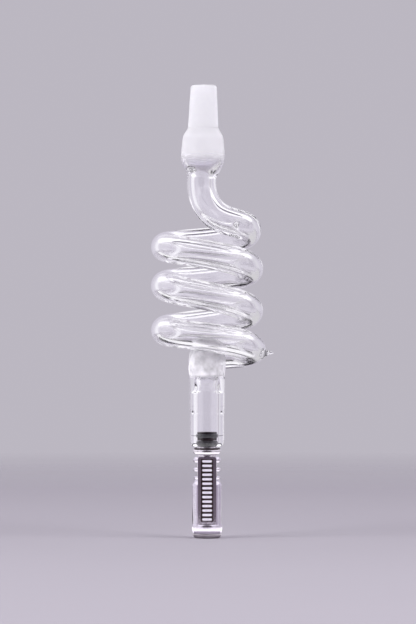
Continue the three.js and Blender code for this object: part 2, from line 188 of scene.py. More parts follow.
def make(name, verts, faces):
    """A new mesh object from points in millimetres, its faces turned outwards."""
    mesh = bpy.data.meshes.new(name)
    mesh.from_pydata([tuple(c * MM for c in v) for v in verts], [], faces)
    work = bmesh.new()
    work.from_mesh(mesh)
    bmesh.ops.recalc_face_normals(work, faces=work.faces)
    work.to_mesh(mesh)
    work.free()
    obj = bpy.data.objects.new(name, mesh)
    bpy.context.scene.collection.objects.link(obj)
    return obj


def arc(r, z, radius, start, end, steps=8):
    """Points of an arc in an outline, centre (r, z), angles in degrees."""
    angles = [math.radians(start + (end - start) * i / steps) for i in range(steps + 1)]
    return [(r + radius * math.cos(a), z + radius * math.sin(a)) for a in angles]


def natural_spline(points, count):
    """Points evenly spaced along a smooth curve through the given points."""
    p = np.asarray(points, dtype=float)
    t = np.concatenate(([0.0], np.cumsum(np.linalg.norm(np.diff(p, axis=0), axis=1))))
    h = np.diff(t)
    size = len(p)
    matrix = np.eye(size)
    target = np.zeros_like(p)
    for i in range(1, size - 1):
        matrix[i, i - 1 : i + 2] = (h[i - 1], 2 * (h[i - 1] + h[i]), h[i])
        target[i] = 6 * ((p[i + 1] - p[i]) / h[i] - (p[i] - p[i - 1]) / h[i - 1])
    bend = np.linalg.solve(matrix, target)

    def at(u):
        i = np.clip(np.searchsorted(t, u, side="right") - 1, 0, size - 2)
        a = ((t[i + 1] - u) / h[i])[:, None]
        b = 1 - a
        cubic = (a**3 - a) * bend[i] + (b**3 - b) * bend[i + 1]
        return a * p[i] + b * p[i + 1] + cubic * (h[i][:, None] ** 2) / 6

    fine = at(np.linspace(0, t[-1], count * 8))
    length = np.concatenate(([0.0], np.cumsum(np.linalg.norm(np.diff(fine, axis=0), axis=1))))
    even = np.linspace(0, length[-1], count)
    return np.stack([np.interp(even, length, fine[:, k]) for k in range(p.shape[1])], axis=1)


def turned(name, outline, sides=128):
    """A body of revolution about Z. The outline closes on itself, or starts and ends on the
    axis."""
    closed = outline[0][0] > 1e-6
    verts, rings = [], []
    for r, z in outline:
        if r < 1e-6:
            rings.append([len(verts)] * sides)
            verts.append((0, 0, z))
            continue
        rings.append(list(range(len(verts), len(verts) + sides)))
        for k in range(sides):
            a = 2 * math.pi * k / sides
            verts.append((r * math.cos(a), r * math.sin(a), z))
    pairs = list(zip(rings, rings[1:]))
    if closed:
        pairs.append((rings[-1], rings[0]))
    faces = []
    for low, high in pairs:
        for k in range(sides):
            n = (k + 1) % sides
            corners = []
            for v in (low[k], low[n], high[n], high[k]):
                if v not in corners:
                    corners.append(v)
            if len(corners) > 2:
                faces.append(corners)
    return make(name, verts, faces)


def swept(name, centres, radii, sides):
    """A round solid along a curve, closed by flat ends."""
    centres = np.asarray(centres)
    tangents = np.gradient(centres, axis=0)
    tangents /= np.linalg.norm(tangents, axis=1)[:, None]
    side = np.cross(tangents[0], (0.0, 1.0, 0.0))
    verts = []
    for centre, tangent, radius in zip(centres, tangents, radii):
        side = side - tangent * np.dot(side, tangent)
        side /= np.linalg.norm(side)
        across = np.cross(tangent, side)
        for k in range(sides):
            a = 2 * math.pi * k / sides
            verts.append(centre + radius * (math.cos(a) * side + math.sin(a) * across))
    faces = []
    for ring in range(len(centres) - 1):
        for k in range(sides):
            n = (k + 1) % sides
            a, b = ring * sides, (ring + 1) * sides
            faces.append((a + k, a + n, b + n, b + k))
    faces.append(tuple(range(sides)))
    faces.append(tuple(range((len(centres) - 1) * sides, len(centres) * sides)))
    return make(name, verts, faces)


def block(name, low, high):
    """A box between two corners, used only to cut with."""
    corners = [(x, y, z) for z in (low[2], high[2])
               for y in (low[1], high[1]) for x in (low[0], high[0])]
    sides = [(0, 1, 3, 2), (4, 5, 7, 6), (0, 1, 5, 4), (2, 3, 7, 6), (0, 2, 6, 4), (1, 3, 7, 5)]
    return make(name, corners, sides)


def apply_modifiers(obj):
    """Replaces the mesh by the result of its modifiers."""
    depsgraph = bpy.context.evaluated_depsgraph_get()
    mesh = bpy.data.meshes.new_from_object(obj.evaluated_get(depsgraph))
    obj.modifiers.clear()
    obj.data = mesh


def combine(base, operation, *tools):
    """Joins or cuts base with each tool, and removes the tools."""
    for tool in tools:
        modifier = base.modifiers.new("combine", "BOOLEAN")
        modifier.operation = operation
        modifier.solver = "MANIFOLD"
        modifier.object = tool
        apply_modifiers(base)
        bpy.data.objects.remove(tool)
    return base


def smooth(obj, sharp_angle=None):
    """Smooth shading, with edges sharper than the angle (degrees) left sharp."""
    mesh = obj.data
    mesh.shade_smooth()
    if sharp_angle is not None:
        mesh.set_sharp_from_angle(angle=math.radians(sharp_angle))
    return obj


def signed_distance(tree, point):
    """Distance of a point from a surface, negative inside it, and the surface's normal there."""
    nearest, normal, _, distance = tree.find_nearest(point)
    return math.copysign(distance, (point - nearest).dot(normal)), normal


def blend_weld(obj, trees, width, rounds=4):
    """Fills the crease between joined solids with a fillet about as wide as width."""
    width *= MM
    for vertex in obj.data.vertices:
        for _ in range(rounds):
            near = sorted((signed_distance(tree, vertex.co) for tree in trees), key=lambda d: d[0])
            (first, first_normal), (second, second_normal) = near[:2]
            overlap = max(width - abs(first - second), 0) / width
            gap = first - overlap * overlap * width / 4
            if overlap == 0 or abs(gap) < 1e-3 * MM:
                break
            push = first_normal * (1 - overlap / 2) + second_normal * (overlap / 2)
            vertex.co -= push.normalized() * gap


def tree_of(obj):
    depsgraph = bpy.context.evaluated_depsgraph_get()
    return BVHTree.FromObject(obj, depsgraph)


def leaning(z):
    """Centre of the leaning axis of joint and bulb at a height."""
    return (SEAM_X + math.tan(LEAN) * (z - SEAM_Z), 0.0, z)


# ---- material helpers

def socket_values(shader, values):
    for name, value in values.items():
        shader.inputs[name].default_value = value


class Nodes:
    """Short spelling for building the nodes of a material or a world."""

    def __init__(self, tree, shader_name):
        self.tree = tree
        self.shader = tree.nodes[shader_name]

    def node(self, kind, **inputs):
        made = self.tree.nodes.new(kind)
        for key, value in inputs.items():
            made.inputs[key.replace("_", " ")].default_value = value
        return made

    def link(self, output, target):
        self.tree.links.new(output, target)

    def feed(self, target, value):
        """Links an output to an input, or sets the input to a number or colour."""
        if isinstance(value, bpy.types.NodeSocket):
            self.link(value, target)
        elif isinstance(value, tuple):
            target.default_value = (*value, 1)
        else:
            target.default_value = value

    def place(self, scale=(1, 1, 1)):
        """Object coordinates, in metres, stretched by scale."""
        coordinates = self.tree.nodes.new("ShaderNodeTexCoord")
        mapping = self.node("ShaderNodeMapping", Scale=scale)
        self.link(coordinates.outputs["Object"], mapping.inputs["Vector"])
        return mapping.outputs["Vector"]

    def axes(self, vector):
        split = self.tree.nodes.new("ShaderNodeSeparateXYZ")
        self.link(vector, split.inputs["Vector"])
        return split.outputs["X"], split.outputs["Y"], split.outputs["Z"]

    def noise(self, scale, detail=3.0, stretch=(1, 1, 1), roughness=0.5):
        made = self.node("ShaderNodeTexNoise", Scale=scale, Detail=detail, Roughness=roughness)
        self.link(self.place(stretch), made.inputs["Vector"])
        return made.outputs["Fac"]

    def ramp(self, value, stops):
        made = self.tree.nodes.new("ShaderNodeValToRGB")
        band = made.color_ramp
        while len(band.elements) < len(stops):
            band.elements.new(0.5)
        for element, (position, colour) in zip(band.elements, stops):
            element.position = position
            element.color = (*colour, 1)
        self.link(value, made.inputs["Fac"])
        return made.outputs["Color"]

    def tones(self, value, dark, light, low=0.3, high=0.7):
        """Blends from a dark to a light colour as a value goes from low to high."""
        return self.ramp(value, [(low, dark), (high, light)])

    def span(self, value, low, high, to_low=0.0, to_high=1.0, curve="LINEAR"):
        made = self.tree.nodes.new("ShaderNodeMapRange")
        made.interpolation_type = curve
        limits = {"From Min": low, "From Max": high, "To Min": to_low, "To Max": to_high}
        for key, number in limits.items():
            made.inputs[key].default_value = number
        self.link(value, made.inputs["Value"])
        return made.outputs["Result"]

    def fade(self, value, low, high):
        return self.span(value, low, high, curve="SMOOTHSTEP")

    def strip(self, value, middle, half_width):
        """1 at the middle, falling to 0 a half width away on both sides."""
        away = self.maths("ABSOLUTE", self.maths("SUBTRACT", value, middle))
        return self.fade(away, half_width, half_width * 0.5)

    def maths(self, operation, a, b=0.0):
        made = self.tree.nodes.new("ShaderNodeMath")
        made.operation = operation
        self.feed(made.inputs[0], a)
        self.feed(made.inputs[1], b)
        return made.outputs["Value"]

    def mix(self, factor, below, above):
        made = self.tree.nodes.new("ShaderNodeMix")
        made.data_type = "RGBA"
        self.link(factor, made.inputs["Factor"])
        self.feed(made.inputs["A"], below)
        self.feed(made.inputs["B"], above)
        return made.outputs["Result"]

    def bump(self, height, strength, distance):
        made = self.node("ShaderNodeBump", Strength=strength, Distance=distance)
        self.link(height, made.inputs["Height"])
        self.link(made.outputs["Normal"], self.shader.inputs["Normal"])

    def to(self, output, name):
        self.link(output, self.shader.inputs[name])


def new_material(name):
    material = bpy.data.materials.new(name)
    material.use_nodes = True
    nodes = Nodes(material.node_tree, "Principled BSDF")
    nodes.material = material
    return nodes


GLASS_IOR = 1.474
FROST = (0.95, 0.94, 0.975)
FROST_LIGHT = (0.98, 0.97, 0.995)
GROUND_LIGHT = (0.98, 0.975, 0.995)
BULB_HAZE = (123.6, 128.5)    # heights between which the haze of bulb and dome fades in
DOME_HAZE = (53.0, 54.8)
DOME_HAZE_R = 7.5
HAZE_DRIFT = 0.0002           # unevenness of that height, in metres


def clear_glass():
    """Clear glass, very slightly dulled in places."""
    m = new_material("clear_borosilicate")
    socket_values(m.shader, {
        "Base Color": (0.997, 0.995, 0.999, 1),
        "Transmission Weight": 1.0,
        "IOR": GLASS_IOR,
    })
    m.to(m.span(m.noise(90, 4), 0.55, 0.8, 0.0, 0.02), "Roughness")
    return m.material


def hazy_glass(name, low, high, clarity, roughness, thinnest):
    """Glass clouded by the flame or the grinding, fading in between two heights. The haze is
    patchy where its thinnest places are below 1."""
    m = new_material(name)
    socket_values(m.shader, {"IOR": GLASS_IOR})
    drift = m.span(m.noise(160, 3), 0.3, 0.7, -HAZE_DRIFT, HAZE_DRIFT)
    height = m.maths("ADD", m.axes(m.place())[2], drift)
    patches = m.span(m.noise(330, 4), 0.35, 0.6, thinnest, 1.0)
    haze = m.maths("MULTIPLY", m.fade(height, low * MM, high * MM), patches)
    m.to(m.span(haze, 0.0, 1.0, 1.0, clarity), "Transmission Weight")
    m.to(m.span(haze, 0.0, 1.0, 0.01, roughness), "Roughness")
    m.to(m.tones(m.noise(500, 4), FROST, FROST_LIGHT), "Base Color")
    return m.material


def ground_glass():
    """The taper's ground surface: white, matt and fine-grained."""
    m = new_material("ground_borosilicate")
    socket_values(m.shader, {"Transmission Weight": 0.5, "IOR": GLASS_IOR})
    m.to(m.tones(m.noise(700, 5), FROST, GROUND_LIGHT), "Base Color")
    m.to(m.span(m.noise(350, 4, (1, 1, 3)), 0.3, 0.7, 0.42, 0.62), "Roughness")
    m.bump(m.noise(9000, 3, (1, 1, 2)), 0.25, 0.00004)
    return m.material


def turned_metal(name, colour, dark, roughness, line_depth):
    """Lathe-turned metal: fine lines round the axis, patchy polish."""
    m = new_material(name)
    socket_values(m.shader, {"Metallic": 1.0})
    m.to(m.tones(m.noise(260, 4), dark, colour, low=0.25), "Base Color")
    lines = m.noise(60, 6, (1, 1, 160), 0.7)
    scuffs = m.noise(1500, 3, (1, 1, 0.15))
    spread = m.span(m.maths("ADD", lines, scuffs), 0.6, 1.4, roughness * 0.7, roughness * 1.5)
    m.to(spread, "Roughness")
    m.bump(lines, line_depth, 0.00003)
    return m.material


def heated_metal(name, low, high, roughness):
    """Turned metal tinted by the flame: blue-violet near the closed end, straw above."""
    m = new_material(name)
    socket_values(m.shader, {"Metallic": 1.0})
    level = m.span(m.axes(m.place())[2], low * MM, high * MM, 0.0, 1.0)
    drift = m.maths("ADD", level, m.span(m.noise(220, 3), 0.3, 0.7, -0.12, 0.12))
    tint = m.ramp(drift, [
        (0.0, (0.20, 0.19, 0.26)),
        (0.3, (0.30, 0.20, 0.27)),
        (0.5, (0.46, 0.33, 0.22)),
        (0.85, (0.80, 0.76, 0.80)),
    ])
    m.to(tint, "Base Color")
    lines = m.noise(60, 6, (1, 1, 140), 0.7)
    m.to(m.span(lines, 0.3, 0.7, roughness * 0.8, roughness * 1.4), "Roughness")
    m.bump(lines, 0.3, 0.00003)
    return m.material


def dark_oxide_and_painted_shade():
    """A dark, thin matt layer on steel, used on the cap's panel floors and on the tip. On the tip
    it is painted shade. The dark shank stands for metal reflecting dark surroundings. The dark band
    on the collar's step stands for the shadowed gap under the socket's lip.
    """
    m = new_material("dark_oxide_and_painted_shade")
    socket_values(m.shader, {"Metallic": 0.7})
    shade = m.tones(m.noise(900, 4), (0.018, 0.010, 0.014), (0.055, 0.030, 0.036), high=0.75)
    m.to(shade, "Base Color")
    m.to(m.span(m.noise(1200, 3), 0.3, 0.7, 0.38, 0.6), "Roughness")
    m.bump(m.noise(5000, 2), 0.3, 0.00003)
    return m.material


def blasted_metal():
    """Bead-blasted steel: bright, matt and fine-grained."""
    m = new_material("blasted_steel")
    socket_values(m.shader, {"Metallic": 0.35})
    m.to(m.tones(m.noise(1600, 4), (0.66, 0.62, 0.72), (0.80, 0.76, 0.86)), "Base Color")
    m.to(m.span(m.noise(2500, 3), 0.3, 0.7, 0.5, 0.7), "Roughness")
    m.bump(m.noise(12000, 2), 0.25, 0.00002)
    return m.material


def rubber():
    """Dark O-ring rubber with a dull shine and a fine grain."""
    m = new_material("o_ring_rubber")
    shade = m.tones(m.noise(1200, 4), (0.055, 0.053, 0.060), (0.105, 0.102, 0.115), high=0.75)
    m.to(shade, "Base Color")
    m.to(m.span(m.noise(800, 3), 0.3, 0.7, 0.3, 0.5), "Roughness")
    m.bump(m.noise(6000, 3), 0.25, 0.00004)
    return m.material


def dress(obj, body, slot, nodes, *materials):
    """Gives a piece its materials and its body, and hides the CAD nodes it stands for. The slot is
    not used.
    """
    mesh = obj.data
    painted = np.zeros(len(mesh.polygons), dtype=np.int32)
    mesh.polygons.foreach_get("material_index", painted)
    mesh.materials.clear()
    for material in materials:
        mesh.materials.append(material)
    mesh.polygons.foreach_set("material_index", painted)
    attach(obj, body)
    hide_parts(*nodes)
    return obj


# ---- glass

NECK_POINTS = (
    (-1.85, 0.0, 119.4),
    (-1.75, -0.3, 116.6),
    (-1.0, -1.7, 113.1),
    (0.6, -4.1, 110.0),
    (3.3, -6.8, 107.2),
    (7.2, -8.2, 105.4),
    (11.4, -6.6, 104.2),
)

# (height, radius) down the bulb and into the neck, outside and inside; the bore narrows to
# a ridge at the weld
BULB_OUTSIDE = (
    (136.7, 5.1), (135.6, 5.65), (134.4, 6.4), (133.0, 6.8), (130.5, 7.02), (127.2, 7.25),
    (125.4, 7.05), (124.0, 6.48), (122.6, 5.7), (121.4, 5.1), (120.2, 4.87), (118.0, TUBE_R),
)
BULB_INSIDE = (
    (138.0, 3.3), (136.7, 3.35), (135.6, 3.9), (134.0, 5.0), (132.0, 5.6), (128.0, 6.0),
    (126.0, 5.85), (124.5, 5.15), (123.3, 4.15), (122.4, 3.2), (121.8, 2.7), (121.2, 2.55),
    (120.4, 2.65), (118.0, BORE_R),
)


def winding_points():
    """Centre line of the coil, a point every 30 degrees, from the right round behind."""
    last = len(QUARTER_TURN_Z) - 1
    quarters = np.arange(last + 1) * 90.0
    radius = [COIL_START_R] + [COIL_R] * (last - 1) + [COIL_END_R]
    angles = np.arange(0, 90 * last + 1, 30)
    curve = natural_spline(list(zip(quarters / 20, QUARTER_TURN_Z, radius)), 400)
    heights = np.interp(angles, curve[:, 0] * 20, curve[:, 1])
    radii = np.interp(angles, curve[:, 0] * 20, curve[:, 2])
    turn = np.radians(angles)
    return list(zip(radii * np.cos(turn), radii * np.sin(turn), heights))


def leg_points():
    """The return leg: a tighter bend from the last turn in to the axis."""
    start = math.radians(LEG_START_ANGLE)
    reach = COIL_END_R - LEG_BEND_R
    centre = (reach * math.cos(start), reach * math.sin(start))
    points = []
    for degrees in range(LEG_START_ANGLE, 181, 30):
        a = math.radians(degrees)
        left = 1 - (degrees - LEG_START_ANGLE) / (180 - LEG_START_ANGLE)
        x = centre[0] + LEG_BEND_R * math.cos(a)
        y = centre[1] + LEG_BEND_R * math.sin(a)
        z = LEG_END_Z + (LEG_START_Z - LEG_END_Z) * left**2
        points.append((x, y, z))
    return points + [(0.0, 0.6, LEG_END_Z)]


def tube_route():
    """Centre line of the whole tube, from the joint down to the dome, evenly spaced."""
    axis = [leaning(z) for z in (JOINT_Z, 134.0, 131.0, 128.0, 125.0, 123.0)]
    points = axis + list(NECK_POINTS) + winding_points() + leg_points()
    rough = natural_spline(points, 400)
    length = np.linalg.norm(np.diff(rough, axis=0), axis=1).sum()
    return natural_spline(points, int(length / RING_STEP))


def radii_along(route, profile, plain):
    """Tube radius at each point of the route: the bulb's profile at the top, then plain tube."""
    curve = natural_spline(profile, 200)[::-1]
    first_turn = np.argmax(route[:, 2] < profile[-1][0])
    radii = np.full(len(route), plain)
    radii[:first_turn] = np.interp(route[:first_turn, 2], curve[:, 0], curve[:, 1])
    s = np.arange(len(route)) * RING_STEP
    uneven = np.sin(s / 9.1) + 0.7 * np.sin(s / 4.3 + 1.2) + 0.4 * np.sin(s / 2.3 + 0.4)
    fade = np.clip((np.arange(len(route)) - first_turn) / 20, 0, 1)
    return radii + WOBBLE * 0.5 * uneven * fade


def socket_outline():
    """Outside of the socket: rounded lip, lower tube, small step, upper tube, dome."""
    mouth = [(0, SOCKET_MOUTH), (SOCKET_LIP_R, SOCKET_MOUTH)]
    lip = natural_spline([
        (SOCKET_LIP_R, SOCKET_MOUTH), (4.95, SOCKET_MOUTH + 0.3), (5.45, SOCKET_MOUTH + 0.95),
        (5.68, SOCKET_MOUTH + 1.8), (SOCKET_LOWER_R, SOCKET_MOUTH + 3),
    ], 16)
    lower = [(SOCKET_LOWER_R, z) for z in (35, 37, 39)]
    step = natural_spline([
        (SOCKET_LOWER_R, SOCKET_STEP_Z - 1.5), (SOCKET_LOWER_R + 0.02, SOCKET_STEP_Z),
        (SOCKET_R - 0.02, SOCKET_STEP_Z + 1), (SOCKET_R, SOCKET_STEP_Z + 2.5),
    ], 14)
    upper = [(SOCKET_R, 44.5 + 0.3 * i) for i in range(28)]
    dome = natural_spline([
        (SOCKET_R, 53), (6.1, 55.5), (DOME_R, DOME_Z), (5.92, 60.3), (5.2, 62.5), (4.05, 64.7),
        (2.3, 66.3), (0, DOME_TOP),
    ], 44)
    return [*mouth, *lip[1:], *lower, *step, *upper, *dome]


def socket_bore_outline():
    """Inside of the socket: flared mouth, bore, taper into the narrow bore of the dome. The
    bore has close rings where the dents are pressed."""
    mouth = [(0, SOCKET_MOUTH - 2), (SOCKET_FLARE_R, SOCKET_MOUTH - 2)]
    flare = natural_spline([
        (SOCKET_FLARE_R, SOCKET_MOUTH - 0.3), (SOCKET_BORE_R + 0.1, SOCKET_MOUTH + 0.4),
        (SOCKET_BORE_R, SOCKET_MOUTH + 1.2),
    ], 8)
    speck_rings = [40.6 + 0.2 * i for i in range(13)]
    bore = [(SOCKET_BORE_R, z) for z in (34, 37, 40, *speck_rings, 45)]
    cone = natural_spline([
        (SOCKET_BORE_R, 47), (SOCKET_BORE_R - 0.05, SOCKET_BORE_TOP),
        (SOCKET_BORE_R - 0.35, SOCKET_BORE_TOP + 1.8),
        (DOME_BORE_R + 0.35, SOCKET_BORE_TOP + 4.4), (DOME_BORE_R, SOCKET_BORE_TOP + 6),
    ], 30)
    top = natural_spline([
        (DOME_BORE_R, 56), (DOME_BORE_R, 60.5), (2.2, 62.2), (1.4, 63.4), (0, 63.9),
    ], 20)
    return [*mouth, *flare, *bore, *cone, *top]


def nipple():
    """The drawn point where the blow tube was melted off, pointing along +X."""
    base = COIL_END_R + TUBE_R * 0.75
    length = NIPPLE_TIP_X - base
    profile = natural_spline([
        (1.7, 0), (1.35, length * 0.3), (0.8, length * 0.55), (0.48, length * 0.78),
        (0.36, length * 0.93), (0.2, length * 0.985),
    ], 20)
    obj = turned("nipple", [(0, 0), *profile, (0, length)], sides=32)
    for v in obj.data.vertices:
        v.co = Vector((v.co.z + base * MM, v.co.y, NIPPLE_Z * MM - v.co.x))
    return obj


def dimple_dome(obj, depth, seed):
    """Unevenness of the hand-melted dome, fading out down the socket."""
    for v in obj.data.vertices:
        z = v.co.z / MM
        near_axis = math.hypot(v.co.x, v.co.y) / MM < DIMPLE_REACH
        if not DIMPLE_BASE < z < DIMPLE_TOP or not near_axis:
            continue
        fade = min((z - DIMPLE_BASE) / DIMPLE_FADE, 1)
        push = noise.noise_vector(v.co / (DIMPLE_SIZE * MM) + Vector((seed, 0, 0)))
        v.co += push * depth * fade * MM


def press_dents(obj, height, depth, rise, drop, half_angle):
    """Two dents pressed into the socket's bore, one at each side, deepest at a height. They
    fade out over a rise above it, a drop below it and a half angle (degrees) to either side."""
    for v in obj.data.vertices:
        x, y, z = v.co / MM
        radius = math.hypot(x, y)
        reach = rise if z > height else drop
        if radius > DENT_REACH or abs(z - height) > 3 * reach:
            continue
        turn = math.degrees(math.atan2(y, abs(x)))
        fall = math.exp(-((z - height) / reach) ** 2 - (turn / half_angle) ** 2)
        shrink = 1 - depth * fall / max(radius, 1)
        v.co.x *= shrink
        v.co.y *= shrink


def build_glass():
    """The whole stem in one mesh. Its second material is the hazy bulb, its third the dome."""
    route = tube_route()
    outside = swept("stem_glass", route, radii_along(route, BULB_OUTSIDE, TUBE_R), OUTER_SIDES)
    bore_route = np.vstack([[leaning(JOINT_Z + 1.2)], route])
    bore_radii = radii_along(bore_route, BULB_INSIDE, BORE_R)
    last = int(LEG_TAPER / RING_STEP)
    bore_radii[-last:] = np.linspace(bore_radii[-last], DOME_BORE_R - 0.05, last)
    inside = swept("tube_bore", bore_route, bore_radii, BORE_SIDES)
    socket = turned("socket", socket_outline(), sides=96)
    socket_bore = turned("socket_bore", socket_bore_outline(), sides=72)
    point = nipple()

    outer_trees = [tree_of(outside), tree_of(socket)]
    point_trees = [outer_trees[0], tree_of(point)]
    bore_trees = [tree_of(inside), tree_of(socket_bore)]
    combine(outside, "UNION", socket)
    blend_weld(outside, outer_trees, width=2.6)
    combine(outside, "UNION", point)
    blend_weld(outside, point_trees, width=1.0)
    dimple_dome(outside, depth=0.2, seed=3.1)
    combine(inside, "UNION", socket_bore)
    blend_weld(inside, bore_trees, width=1.6)
    dimple_dome(inside, depth=0.3, seed=7.7)
    press_dents(inside, STOP_DENT_Z, depth=1.6, rise=2.2, drop=0.5, half_angle=28)
    press_dents(inside, SPECK_DENT_Z, depth=0.38, rise=0.5, drop=0.42, half_angle=14)
    combine(outside, "DIFFERENCE", inside)
    for face in outside.data.polygons:
        x, y, z = face.center / MM
        face.material_index = 0
        if z > BULB_HAZE[0]:
            face.material_index = 1
        elif DOME_HAZE[0] < z < DOME_TOP and math.hypot(x, y) < DOME_HAZE_R:
            face.material_index = 2
    return smooth(outside, sharp_angle=50)


def build_joint():
    """The ground male taper, a separate piece because its surface is different."""
    top = JOINT_TOP - JOINT_Z
    outline = [(JOINT_BORE_R, 0.02), (JOINT_R, 0.02)]
    steps = 12
    for i in range(1, steps):
        outline.append((JOINT_R + (RIM_R - JOINT_R) * i / steps, (top - RIM_ROUND) * i / steps))
    outline += arc(RIM_R - RIM_ROUND + 0.12, top - RIM_ROUND, RIM_ROUND - 0.12, 0, 90, 10)
    outline += [(JOINT_BORE_R, top - 0.25), (JOINT_BORE_R, top / 2)]
    obj = turned("ground_taper", outline, sides=112)
    for v in obj.data.vertices:
        shift = math.tan(LEAN) * v.co.z
        x, y, z = leaning(JOINT_Z)
        v.co += Vector((shift + x * MM, y * MM, z * MM))
    return smooth(obj, sharp_angle=40)


# ---- tip and rings

def build_tip():
    """The metal tip: shank with two ring grooves, collar, neck and a bowl with a notched mouth."""
    def groove(heights, above, below):
        bottom, top = heights
        return [
            (above, top + CHAMFER), (above - CHAMFER, top), (GROOVE_R, top),
            (GROOVE_R, bottom), (below - CHAMFER, bottom), (below, bottom - CHAMFER),
        ]

    def screen_groove(middle):
        return [(BOWL_BORE_R, middle - 0.2), (BOWL_BORE_R + 0.12, middle - 0.1),
                (BOWL_BORE_R + 0.12, middle + 0.1), (BOWL_BORE_R, middle + 0.2)]

    screen_middle = (SCREEN_LOW.z + SCREEN_HIGH.z) / 2
    step_base = COLLAR_TOP - COLLAR_STEP
    outline = [
        (AIR_BORE_R + 0.1, SHANK_TOP), (SHANK_R - 0.2, SHANK_TOP), (SHANK_R, SHANK_TOP - 0.2),
        *groove(UPPER_GROOVE, SHANK_R, LAND_R), *groove(LOWER_GROOVE, LAND_R, SHANK_R),
        (SHANK_R, COLLAR_TOP + 0.1), (SHANK_R + 0.1, COLLAR_TOP),
        (COLLAR_STEP_R - CHAMFER, COLLAR_TOP), (COLLAR_STEP_R, COLLAR_TOP - CHAMFER),
        (COLLAR_STEP_R, step_base),
        *arc(COLLAR_R - COLLAR_ROUND, step_base - COLLAR_ROUND, COLLAR_ROUND, 90, 0, 8),
        *arc(COLLAR_R - COLLAR_EDGE, COLLAR_BASE + COLLAR_EDGE, COLLAR_EDGE, 0, -50, 4),
        (4.35, 28.1), (4.0, 27.93), (3.65, 27.88), (NECK_R, 27.78), (NECK_R, NECK_BASE + CHAMFER),
        (NECK_R - CHAMFER, NECK_BASE), (BOWL_R, NECK_BASE), (BOWL_R, BOWL_MOUTH + 0.2),
        (BOWL_R - 0.12, BOWL_MOUTH), (BOWL_BORE_R + 0.08, BOWL_MOUTH),
        (BOWL_BORE_R, BOWL_MOUTH + 0.12),
        *screen_groove(screen_middle - SCREEN_TRAVEL), *screen_groove(screen_middle),
        (BOWL_BORE_R, BOWL_TOP), (AIR_BORE_R, BOWL_TOP + 0.8), (AIR_BORE_R, SHANK_TOP - 0.1),
    ]
    tip = turned("metal_tip", outline, sides=128)
    notches, flutes = [], []
    for quarter in range(4):
        notch = block("notch", (-0.45, -6, BOWL_MOUTH - 1.1), (0.45, 6, BOWL_MOUTH + 1.1))
        flute_low = (BOWL_R - 0.18, -0.5, BOWL_MOUTH - 1)
        flute_high = (BOWL_R + 2, 0.5, COLLAR_BASE - 2)
        flute = block("flute", flute_low, flute_high)
        for obj, turn in ((notch, (quarter + 0.5) * math.pi / 4), (flute, quarter * math.pi / 2)):
            for v in obj.data.vertices:
                x, y = v.co.x, v.co.y
                v.co.x = x * math.cos(turn) - y * math.sin(turn)
                v.co.y = x * math.sin(turn) + y * math.cos(turn)
        notches.append(notch)
        flutes.append(flute)
    combine(tip, "DIFFERENCE", *notches, *flutes)
    # Painted shade: the collar's top step and the shank above the lower groove take the dark second
    # material. The step's dark band stands for the shadowed gap under the socket's lip, and the
    # dark shank for metal reflecting dark surroundings.
    slack = 0.02
    for face in tip.data.polygons:
        x, y, z = face.center / MM
        on_step = step_base - slack < z < COLLAR_TOP + slack and math.hypot(x, y) > SHANK_R
        on_shank = z > LOWER_GROOVE[0] - slack
        face.material_index = 1 if on_step or on_shank else 0
    return smooth(tip, sharp_angle=30)


def build_ring(name, groove):
    """A squeezed O-ring in its groove, with the mould's parting line inside and outside."""
    middle = sum(groove) / 2
    steps = 28
    centre = RING_OUTER_R - RING_SECTION_R
    outline = []
    for i in range(steps):
        a = 2 * math.pi * i / steps
        on_seam = i in (0, steps // 2)
        seam = RING_SEAM if on_seam else 0.0
        reach = RING_SECTION_R + seam - RING_SEAM
        across = math.copysign(abs(math.cos(a)) ** RING_SQUEEZE, math.cos(a))
        up = math.copysign(abs(math.sin(a)) ** RING_SQUEEZE, math.sin(a))
        outline.append((centre + reach * across, middle + reach * up))
    return smooth(turned(name, outline, sides=96))


def build_screen():
    """Woven wire screen held by a round wire rim."""
    middle = (SCREEN_LOW.z + SCREEN_HIGH.z) / 2
    reach = SCREEN_R - SCREEN_RIM
    rim = arc(reach, middle, SCREEN_RIM, 0, 345, 23)
    screen = smooth(turned("wire_screen", rim, sides=72))
    count = 7
    steps = 44
    for direction in (0, 1):
        for i in range(-count, count + 1):
            across = i * WIRE_PITCH
            half = math.sqrt(max(reach**2 - across**2, 0.04))
            phase = 1 if (i + direction) % 2 else -1
            points = []
            for k in range(steps + 1):
                along = -half + 2 * half * k / steps
                z = middle + phase * WIRE_LIFT * math.cos(math.pi * along / WIRE_PITCH)
                points.append((along, across, z) if direction == 0 else (across, along, z))
            wire = smooth(swept("wire", points, [WIRE_R] * len(points), sides=8))
            join_into(screen, wire)
    return screen


def join_into(base, extra):
    """Adds one mesh to another as it is, and removes it."""
    work = bmesh.new()
    work.from_mesh(base.data)
    work.from_mesh(extra.data)
    work.to_mesh(base.data)
    work.free()
    bpy.data.objects.remove(extra)


# ---- cap

def rounded(outline, radius, steps=3):
    """Rounds the inner corners of an outline by a small radius."""
    points = [Vector(p) for p in outline]
    result = [tuple(points[0])]
    for before, corner, after in zip(points, points[1:], points[2:]):
        back, on = before - corner, after - corner
        cut = min(radius, back.length * 0.45, on.length * 0.45)
        a, b = corner + back.normalized() * cut, corner + on.normalized() * cut
        for i in range(steps + 1):
            t = i / steps
            result.append(tuple(a * (1 - t) ** 2 + corner * 2 * t * (1 - t) + b * t**2))
    return result + [tuple(points[-1])]


